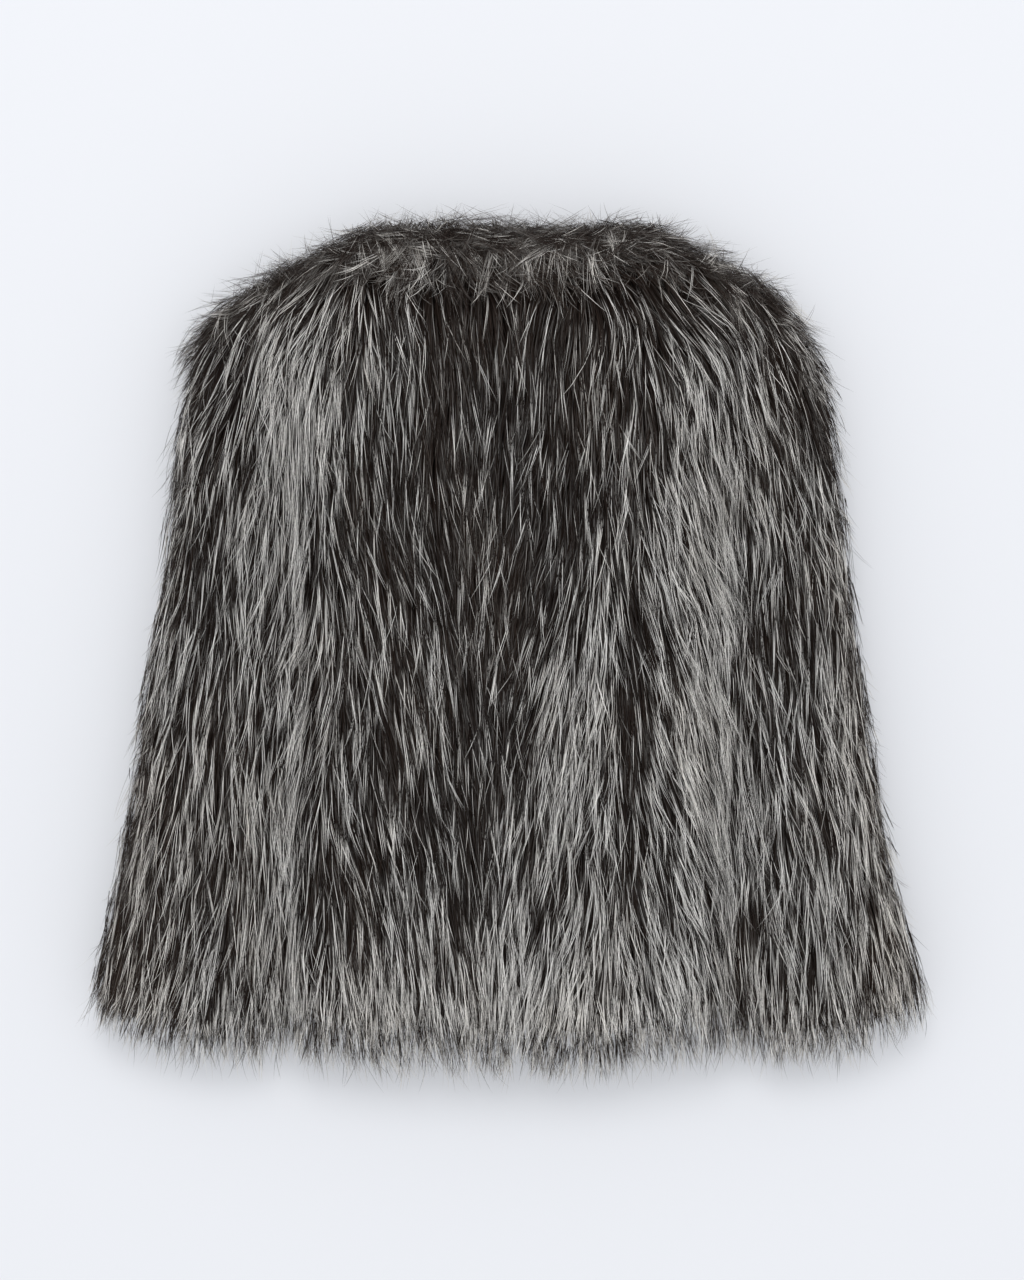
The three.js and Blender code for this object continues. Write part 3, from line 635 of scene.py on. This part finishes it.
def hair_material(settings):
    """Banded guard hair: dark at the root, silver along the middle and dark again at the tip."""
    material, nodes, links = new_material("banded guard hair")
    shader = nodes["Principled BSDF"]
    along = read_attribute(nodes, "along")
    silver = read_attribute(nodes, "silver")
    tint = read_attribute(nodes, "tint")
    band = colour_ramp(
        nodes,
        [
            (0.0, grey(0.0)),
            (0.22, grey(0.02)),
            (0.4, grey(0.8)),
            (0.52, grey(1.0)),
            (0.9, grey(0.98)),
            (1.0, grey(0.35)),
        ],
    )
    links.new(along, band.inputs["Fac"])
    share = nodes.new("ShaderNodeMath")
    share.operation = "MULTIPLY"
    links.new(band.outputs["Color"], share.inputs[0])
    links.new(silver, share.inputs[1])
    dark = mix_colours(nodes, links, tint, opaque(settings.dark_colour), opaque(settings.brown_colour))
    root = mix_colours(nodes, links, along, opaque(settings.underfur_colour), dark)
    light = mix_colours(nodes, links, tint, opaque(settings.silver_colour), opaque(settings.warm_colour))
    colour = mix_colours(nodes, links, share.outputs["Value"], root, light)
    links.new(colour, shader.inputs["Base Color"])
    shader.inputs["Roughness"].default_value = 0.46
    gloss = nodes.new("ShaderNodeMath")
    gloss.operation = "MULTIPLY_ADD"
    links.new(share.outputs["Value"], gloss.inputs[0])
    gloss.inputs[1].default_value = 0.55
    gloss.inputs[2].default_value = 0.05
    links.new(gloss.outputs["Value"], shader.inputs["Specular IOR Level"])
    return material


def pelt_material(settings):
    """Dense underfur: dark brown, combed into fine streaks with felted hollows between them."""
    material, nodes, links = new_material("dense underfur")
    shader = nodes["Principled BSDF"]
    place = nodes.new("ShaderNodeTexCoord").outputs["Object"]
    combed = nodes.new("ShaderNodeMapping")
    combed.inputs["Scale"].default_value = (900.0, 90.0, 300.0)
    links.new(place, combed.inputs["Vector"])
    streaks = nodes.new("ShaderNodeTexNoise")
    streaks.inputs["Scale"].default_value = 1.0
    streaks.inputs["Detail"].default_value = 4.0
    links.new(combed.outputs["Vector"], streaks.inputs["Vector"])
    tufts = nodes.new("ShaderNodeTexNoise")
    tufts.inputs["Scale"].default_value = 85.0
    tufts.inputs["Detail"].default_value = 3.0
    links.new(place, tufts.inputs["Vector"])
    dark, warm = opaque(settings.dark_colour), opaque(settings.underfur_colour)
    ramp = colour_ramp(nodes, [(0.36, dark), (0.62, warm)])
    links.new(streaks.outputs["Fac"], ramp.inputs["Fac"])
    shade = mix_colours(nodes, links, tufts.outputs["Fac"], dark, ramp.outputs["Color"])
    links.new(shade, shader.inputs["Base Color"])
    bump = nodes.new("ShaderNodeBump")
    bump.inputs["Strength"].default_value = 0.8
    bump.inputs["Distance"].default_value = 0.002
    links.new(streaks.outputs["Fac"], bump.inputs["Height"])
    links.new(bump.outputs["Normal"], shader.inputs["Normal"])
    shader.inputs["Roughness"].default_value = 0.88
    shader.inputs["Specular IOR Level"].default_value = 0.08
    return material


# Pelts


def pelt_mesh(node, settings):
    """A thin shell of pelt on the form of its solid, at the level of the dense underfur."""
    mesh = bpy.data.meshes.new("pelt_" + node)
    work = bmesh.new()
    work.from_mesh(NODES[node].data)
    bmesh.ops.remove_doubles(work, verts=work.verts, dist=1e-5)
    inner = [v for v in work.verts if abs(v.co.z - FOLD_LEVEL) < 0.0005]
    bmesh.ops.delete(work, geom=inner, context="VERTS")
    places = np.array([v.co for v in work.verts])
    x, y, z = places.T
    edge = pile.at(pile.edge, x, y)
    _, py = pattern_place(x, y)
    side = 1.0 - soft_step(-190, -260, py)
    pull = settings.edge_inset * np.clip(1.0 - edge / 0.05, 0.0, 1.0)
    squeeze = settings.edge_inset * 2.2 * (1.0 - side)
    narrowed = np.sign(x) * squeeze * np.clip(np.abs(x) / 0.33, 0.0, 1.0) ** 2
    x = x + pile.at(pile.in_x, x, y) * pull * side - narrowed
    ragged = settings.hem_inset + 0.0035 * soft_noise(x * 1000.0, y * 0.0, 15.0, 16)
    y = y + pile.at(pile.in_y, x, y) * pull * side + ragged * soft_step(-170, -335, py)
    above = z > FOLD_LEVEL
    sunk = np.where(above, settings.pelt_level, 0.8)
    z = FOLD_LEVEL + (z - FOLD_LEVEL) * sunk
    for vertex, place in zip(work.verts, np.stack([x, y, z], 1)):
        vertex.co = place
    bmesh.ops.dissolve_degenerate(work, edges=work.edges, dist=2e-4)
    bmesh.ops.recalc_face_normals(work, faces=work.faces)
    for face in work.faces:
        face.smooth = True
    work.to_mesh(mesh)
    work.free()
    return mesh


PELT_CUTS = {
    "back": {
        "flat": (0.42, 0.66), "area": 0.245,
        "rests_on": ["pelt_front_left", "pelt_front_right"],
        "slot": "back_fur",
    },
    "front_left": {
        "flat": (0.22, 0.66), "area": 0.115,
        "rests_on": ["floor"],
        "slot": "front_fur",
    },
    "front_right": {
        "flat": (0.22, 0.66), "area": 0.115,
        "rests_on": ["floor"],
        "slot": "front_fur",
    },
    "sleeve_left": {
        "flat": (0.34, 0.6), "area": 0.16,
        "rests_on": ["floor"],
        "slot": "sleeve_fur",
    },
    "sleeve_right": {
        "flat": (0.34, 0.6), "area": 0.16,
        "rests_on": ["floor"],
        "slot": "sleeve_fur",
    },
    "neck_band": {
        "flat": (0.6, 0.07), "area": 0.035,
        "rests_on": ["floor"],
        "slot": "neck_fur",
    },
}


# Sizes and colours that a user would change


class JacketFurSettings(bpy.types.PropertyGroup):
    hair_length: FloatProperty(
        name="Guard hair length", description="Length of the long hair on the body",
        default=0.07, min=0.02, max=0.1, unit="LENGTH",
    )
    hair_width: FloatProperty(
        name="Hair width", description="Width of one drawn hair at its middle",
        default=0.00042, min=0.0002, max=0.002, unit="LENGTH",
    )
    lock_spacing: FloatProperty(
        name="Lock spacing", description="Distance between the roots of neighbouring locks",
        default=0.0034, min=0.0025, max=0.02, unit="LENGTH",
    )
    lock_width: FloatProperty(
        name="Lock width", description="Width of a lock at its root",
        default=0.0019, min=0.001, max=0.03, unit="LENGTH",
    )
    edge_inset: FloatProperty(
        name="Inset of the pelt", description="How far the pelt stays inside the outline",
        default=0.010, min=0.0, max=0.04, unit="LENGTH",
    )
    hem_inset: FloatProperty(
        name="Inset at the hem", description="How far the pelt stays inside the fringe at the hem and cuffs",
        default=0.040, min=0.0, max=0.06, unit="LENGTH",
    )
    pelt_level: FloatProperty(
        name="Level of the pelt", description="Height of the dense underfur as a share of the pile",
        default=0.58, min=0.2, max=0.95, subtype="FACTOR",
    )
    pelt_thickness: FloatProperty(
        name="Thickness of the pelt", description="Leather with its felted underfur",
        default=0.0018, min=0.001, max=0.003, unit="LENGTH",
    )
    dark_colour: FloatVectorProperty(
        name="Dark hair", description="Colour of the hair's dark parts",
        default=(0.0072, 0.0048, 0.0039), min=0, max=1, size=3, subtype="COLOR",
    )
    brown_colour: FloatVectorProperty(
        name="Brown hair", description="Colour of the browner dark hairs",
        default=(0.036, 0.0225, 0.016), min=0, max=1, size=3, subtype="COLOR",
    )
    underfur_colour: FloatVectorProperty(
        name="Underfur", description="Colour of the woolly underfur",
        default=(0.015, 0.0095, 0.0073), min=0, max=1, size=3, subtype="COLOR",
    )
    silver_colour: FloatVectorProperty(
        name="Silver band", description="Colour of the light band, cool hairs",
        default=(0.97, 0.947, 0.905), min=0, max=1, size=3, subtype="COLOR",
    )
    warm_colour: FloatVectorProperty(
        name="Warm band", description="Colour of the light band, warm hairs",
        default=(0.93, 0.87, 0.785), min=0, max=1, size=3, subtype="COLOR",
    )
    floor_colour: FloatVectorProperty(
        name="Floor", description="Colour of the plain floor",
        default=(0.6, 0.606, 0.626), min=0, max=1, size=3, subtype="COLOR",
    )
    key_power: FloatProperty(
        name="Main light", description="Power of the large soft light",
        default=128.0, min=0.0, max=500.0, subtype="POWER",
    )
    camera_height: FloatProperty(
        name="Camera height", description="Height of the camera above the jacket",
        default=2.4178, min=0.5, max=10.0, unit="LENGTH",
    )


def settings_of(context):
    return context.scene.jacket_fur


def add_hair(name, hair, settings):
    material = bpy.data.materials.get("banded guard hair") or hair_material(settings)
    add_piece(name, hair_mesh(name, *hair), material)


class JACKET_OT_pelts(bpy.types.Operator):
    """Makes the thin pelt of each panel, which stands for its solid"""

    bl_idname = "jacket.pelts"
    bl_label = "Pelts"

    def execute(self, context):
        settings = settings_of(context)
        material = pelt_material(settings)
        for node, cut in PELT_CUTS.items():
            piece = add_piece("pelt_" + node, pelt_mesh(node, settings), material)
            wall = piece.modifiers.new("pelt thickness", "SOLIDIFY")
            wall.thickness = settings.pelt_thickness
            wall.offset = -1.0
            wall.use_even_offset = False
            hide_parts(node)
        return {"FINISHED"}


class JACKET_OT_back_hair(bpy.types.Operator):
    """Grows the long hair of the back panel, in three bands from the shoulders to the hem"""

    bl_idname = "jacket.back_hair"
    bl_label = "Back hair"

    def execute(self, context):
        settings = settings_of(context)
        rng = np.random.default_rng(21)
        x, y, rank = locks_on(["back"], pile.top_owner, settings.lock_spacing, rng)
        for name, low, high in (("shoulders", 0.115, 1.0), ("middle", -0.125, 0.115), ("hem", -1.0, -0.125)):
            chosen = (y >= low) & (y < high)
            hair = grow_hair((x[chosen], y[chosen], rank[chosen]), settings, rng)
            add_hair("hair_back_" + name, hair, settings)
        return {"FINISHED"}


class JACKET_OT_sleeve_hair(bpy.types.Operator):
    """Grows the long hair on the upper side of each sleeve"""

    bl_idname = "jacket.sleeve_hair"
    bl_label = "Sleeve hair"

    def execute(self, context):
        settings = settings_of(context)
        rng = np.random.default_rng(22)
        for side in ("left", "right"):
            roots = locks_on(["sleeve_" + side], pile.top_owner, settings.lock_spacing, rng)
            add_hair("hair_sleeve_" + side, grow_hair(roots, settings, rng), settings)
        return {"FINISHED"}


class JACKET_OT_band_hair(bpy.types.Operator):
    """Grows the shorter, ruffled hair of the neck band"""

    bl_idname = "jacket.band_hair"
    bl_label = "Neck band hair"

    def execute(self, context):
        settings = settings_of(context)
        rng = np.random.default_rng(23)
        roots = locks_on(["neck_band"], pile.top_owner, settings.lock_spacing * 0.82, rng)
        length = settings.hair_length * 0.72
        hair = grow_hair(
            roots, settings, rng, band=True, per_lock=(2, 3), length=length, lift=0.003, wild=0.42
        )
        add_hair("hair_neck_band", hair, settings)
        return {"FINISHED"}


class JACKET_OT_single_hair(bpy.types.Operator):
    """Lays long single hairs over the locks, at looser angles"""

    bl_idname = "jacket.single_hair"
    bl_label = "Single hairs"

    def execute(self, context):
        settings = settings_of(context)
        rng = np.random.default_rng(27)
        groups = (
            ("back", ["back"], 1.36, 0.9, 0.12, "back_fur"),
            ("sleeves", ["sleeve_left", "sleeve_right"], 1.36, 0.9, 0.12, "sleeve_fur"),
            ("neck_band", ["neck_band"], 1.25, 0.62, 0.5, "neck_fur"),
        )
        for name, nodes, spacing, length, wild, slot in groups:
            x, y, rank = locks_on(nodes, pile.top_owner, settings.lock_spacing * spacing, rng, most=1.4)
            chosen = rank < 0.03 + 1.4 * silver_of(x, y)
            roots = (x[chosen], y[chosen], rank[chosen] * 0.0)
            hair = grow_hair(
                roots, settings, rng, band=name == "neck_band", per_lock=(1, 1),
                length=settings.hair_length * length, lift=0.003, wild=wild, coarse=0.85,
            )
            add_hair("singles_" + name, hair, settings)
        return {"FINISHED"}


class JACKET_OT_wisps(bpy.types.Operator):
    """Adds the fine stray hair along the outline, most of it at the neck and shoulders"""

    bl_idname = "jacket.wisps"
    bl_label = "Stray hair"

    def execute(self, context):
        settings = settings_of(context)
        rng = np.random.default_rng(25)
        groups = (
            ("back", ["back"], 900, "back_fur"),
            ("sleeves", ["sleeve_left", "sleeve_right"], 1300, "sleeve_fur"),
            ("neck_band", ["neck_band"], 900, "neck_fur"),
        )
        for name, nodes, count, slot in groups:
            hair = edge_wisps(nodes, count, settings, rng)
            add_hair("wisps_" + name, hair, settings)
        return {"FINISHED"}


class JACKET_OT_flank_hair(bpy.types.Operator):
    """Grows the hair on the flanks, between the side that is up and the side that lies on the floor"""

    bl_idname = "jacket.flank_hair"
    bl_label = "Flank hair"

    def execute(self, context):
        settings = settings_of(context)
        rng = np.random.default_rng(26)
        groups = (
            ("back", ["back"], "back_fur"),
            ("sleeves", ["sleeve_left", "sleeve_right"], "sleeve_fur"),
            ("neck_band", ["neck_band"], "neck_fur"),
        )
        for name, nodes, slot in groups:
            spacing = settings.lock_spacing * (0.8 if name == "back" else 1.0)
            roots = locks_on(nodes, pile.top_owner, spacing, rng, rim=0.024)
            hair = grow_hair(roots, settings, rng, side="flank", length=settings.hair_length * 0.8, lift=0.0)
            add_hair("hair_flank_" + name, hair, settings)
        return {"FINISHED"}


class JACKET_OT_under_hair(bpy.types.Operator):
    """Grows the pressed hair on the side that lies on the floor"""

    bl_idname = "jacket.under_hair"
    bl_label = "Pressed hair"

    def execute(self, context):
        settings = settings_of(context)
        rng = np.random.default_rng(24)
        groups = (
            ("fronts", ["front_left", "front_right", "neck_band"], "front_fur"),
            ("sleeves", ["sleeve_left", "sleeve_right"], "sleeve_fur"),
        )
        for name, nodes, slot in groups:
            roots = locks_on(nodes, pile.under_owner, settings.lock_spacing * 2.6, rng)
            hair = grow_hair(roots, settings, rng, side="under", per_lock=(4, 3), lift=0.0005, coarse=1.7)
            add_hair("hair_under_" + name, hair, settings)
        return {"FINISHED"}


class JACKET_OT_stage(bpy.types.Operator):
    """Adds the pale floor, the soft light and the camera straight above the jacket"""

    bl_idname = "jacket.stage"
    bl_label = "Floor, light and camera"

    def execute(self, context):
        settings = settings_of(context)
        scene = context.scene
        mesh = bpy.data.meshes.new("floor")
        work = bmesh.new()
        bmesh.ops.create_grid(work, x_segments=1, y_segments=1, size=30.0)
        bmesh.ops.translate(work, verts=work.verts, vec=(0.0, 0.0, -0.0004))
        work.to_mesh(mesh)
        work.free()
        floor = bpy.data.objects.new("floor", mesh)
        scene.collection.objects.link(floor)
        material, nodes, _ = new_material("plain floor")
        shader = nodes["Principled BSDF"]
        shader.inputs["Base Color"].default_value = opaque(settings.floor_colour)
        shader.inputs["Roughness"].default_value = 0.9
        shader.inputs["Specular IOR Level"].default_value = 0.1
        shader.inputs["Emission Color"].default_value = (0.96, 0.97, 1.0, 1.0)
        shader.inputs["Emission Strength"].default_value = 0.166
        mesh.materials.append(material)
        world = bpy.data.worlds.new("soft room")
        scene.world = world
        world.use_nodes = True
        background = world.node_tree.nodes["Background"]
        background.inputs["Color"].default_value = (0.95, 0.97, 1.0, 1.0)
        background.inputs["Strength"].default_value = 0.97
        lamp = bpy.data.lights.new("main light", "AREA")
        lamp.shape = "DISK"
        lamp.size = 3.2
        lamp.energy = settings.key_power
        light = bpy.data.objects.new("main light", lamp)
        light.location = (-0.3, 3.4, 5.0)
        light.rotation_mode = "QUATERNION"
        light.rotation_quaternion = (-light.location).to_track_quat("-Z", "Y")
        scene.collection.objects.link(light)
        camera_data = bpy.data.cameras.new("camera")
        camera_data.lens = 85.0
        camera_data.sensor_width = 36.0
        camera = bpy.data.objects.new("camera", camera_data)
        aim_x, aim_y, aim_z = CAMERA_AIM
        camera.location = (aim_x, aim_y, aim_z + settings.camera_height)
        scene.collection.objects.link(camera)
        scene.camera = camera
        scene.view_settings.view_transform = "Standard"
        scene.view_settings.look = "None"
        return {"FINISHED"}


class JACKET_PT_panel(bpy.types.Panel):
    """Lists the steps and the sizes"""

    bl_label = "Fur jacket"
    bl_idname = "JACKET_PT_panel"
    bl_space_type = "VIEW_3D"
    bl_region_type = "UI"
    bl_category = "Fur jacket"

    def draw(self, context):
        settings = settings_of(context)
        for key in settings.__annotations__:
            self.layout.prop(settings, key)
        for step in STEPS:
            self.layout.operator(step.bl_idname)


STEPS = (
    JACKET_OT_pelts,
    JACKET_OT_back_hair,
    JACKET_OT_sleeve_hair,
    JACKET_OT_band_hair,
    JACKET_OT_single_hair,
    JACKET_OT_wisps,
    JACKET_OT_flank_hair,
    JACKET_OT_under_hair,
    JACKET_OT_stage,
)
CLASSES = (JacketFurSettings, *STEPS, JACKET_PT_panel)


def register():
    for item in CLASSES:
        bpy.utils.register_class(item)
    bpy.types.Scene.jacket_fur = PointerProperty(type=JacketFurSettings)


def unregister():
    del bpy.types.Scene.jacket_fur
    for item in reversed(CLASSES):
        bpy.utils.unregister_class(item)


def main():
    register()
    bpy.ops.jacket.pelts()
    bpy.ops.jacket.back_hair()
    bpy.ops.jacket.sleeve_hair()
    bpy.ops.jacket.band_hair()
    bpy.ops.jacket.single_hair()
    bpy.ops.jacket.wisps()
    bpy.ops.jacket.flank_hair()
    bpy.ops.jacket.under_hair()
    bpy.ops.jacket.stage()


if __name__ == "__main__":
    main()
